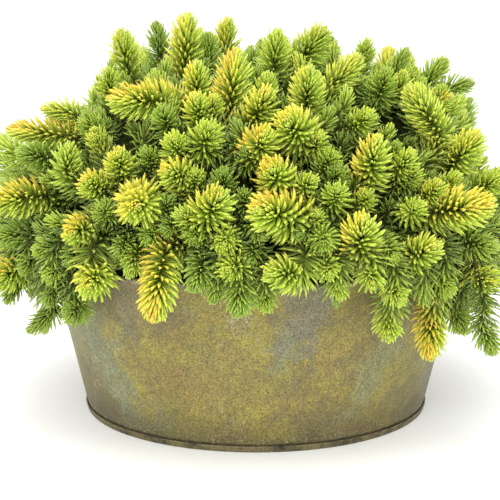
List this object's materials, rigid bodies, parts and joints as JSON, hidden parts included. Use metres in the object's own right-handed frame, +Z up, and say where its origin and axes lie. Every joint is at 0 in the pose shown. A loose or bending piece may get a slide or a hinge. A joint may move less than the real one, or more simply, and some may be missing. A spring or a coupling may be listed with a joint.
{
  "type": "potted sedum",
  "caption": "Dense mound of golden stonecrop with narrow fleshy leaves, growing in a low tapered round tub of aged metal and hanging over its rolled rim.",
  "frame": {"origin": "centre of the tub's flat underside, on the floor", "axes": "+Z up along the tub's axis, -Y towards the side that is looked at, +X to the viewer's right"},
  "size_m": [0.4068, 0.4056, 0.2851],
  "materials": {
    "aged_tub_metal": "satin",
    "tub_foot_metal": "satin",
    "potting_soil": "matte",
    "leaves_1": "satin",
    "leaves_2": "satin",
    "leaves_3": "satin",
    "leaves_4": "satin"
  },
  "bodies": {
    "root": {"tub_wall": "aged_tub_metal", "tub_base": "tub_foot_metal", "soil": "potting_soil", "leafy_bunch_01": "leaves_1", "leafy_bunch_02": "leaves_2", "leafy_bunch_03": "leaves_3", "leafy_bunch_04": "leaves_4", "leafy_bunch_05": "leaves_1", "leafy_bunch_06": "leaves_2", "leafy_bunch_07": "leaves_3", "leafy_bunch_08": "leaves_4", "leafy_bunch_09": "leaves_1", "leafy_bunch_10": "leaves_2", "leafy_bunch_11": "leaves_3", "leafy_bunch_12": "leaves_4", "leafy_bunch_13": "leaves_1", "leafy_bunch_14": "leaves_2", "leafy_bunch_15": "leaves_3", "leafy_bunch_16": "leaves_4", "leafy_bunch_17": "leaves_1", "leafy_bunch_18": "leaves_2", "leafy_bunch_19": "leaves_3", "leafy_bunch_20": "leaves_4", "leafy_bunch_21": "leaves_1", "leafy_bunch_22": "leaves_2", "leafy_bunch_23": "leaves_3", "leafy_bunch_24": "leaves_4", "leafy_bunch_25": "leaves_1", "leafy_bunch_26": "leaves_2", "leafy_bunch_27": "leaves_3", "leafy_bunch_28": "leaves_4", "leafy_bunch_29": "leaves_1", "leafy_bunch_30": "leaves_2", "leafy_bunch_31": "leaves_3"}
  },
  "joints": []
}
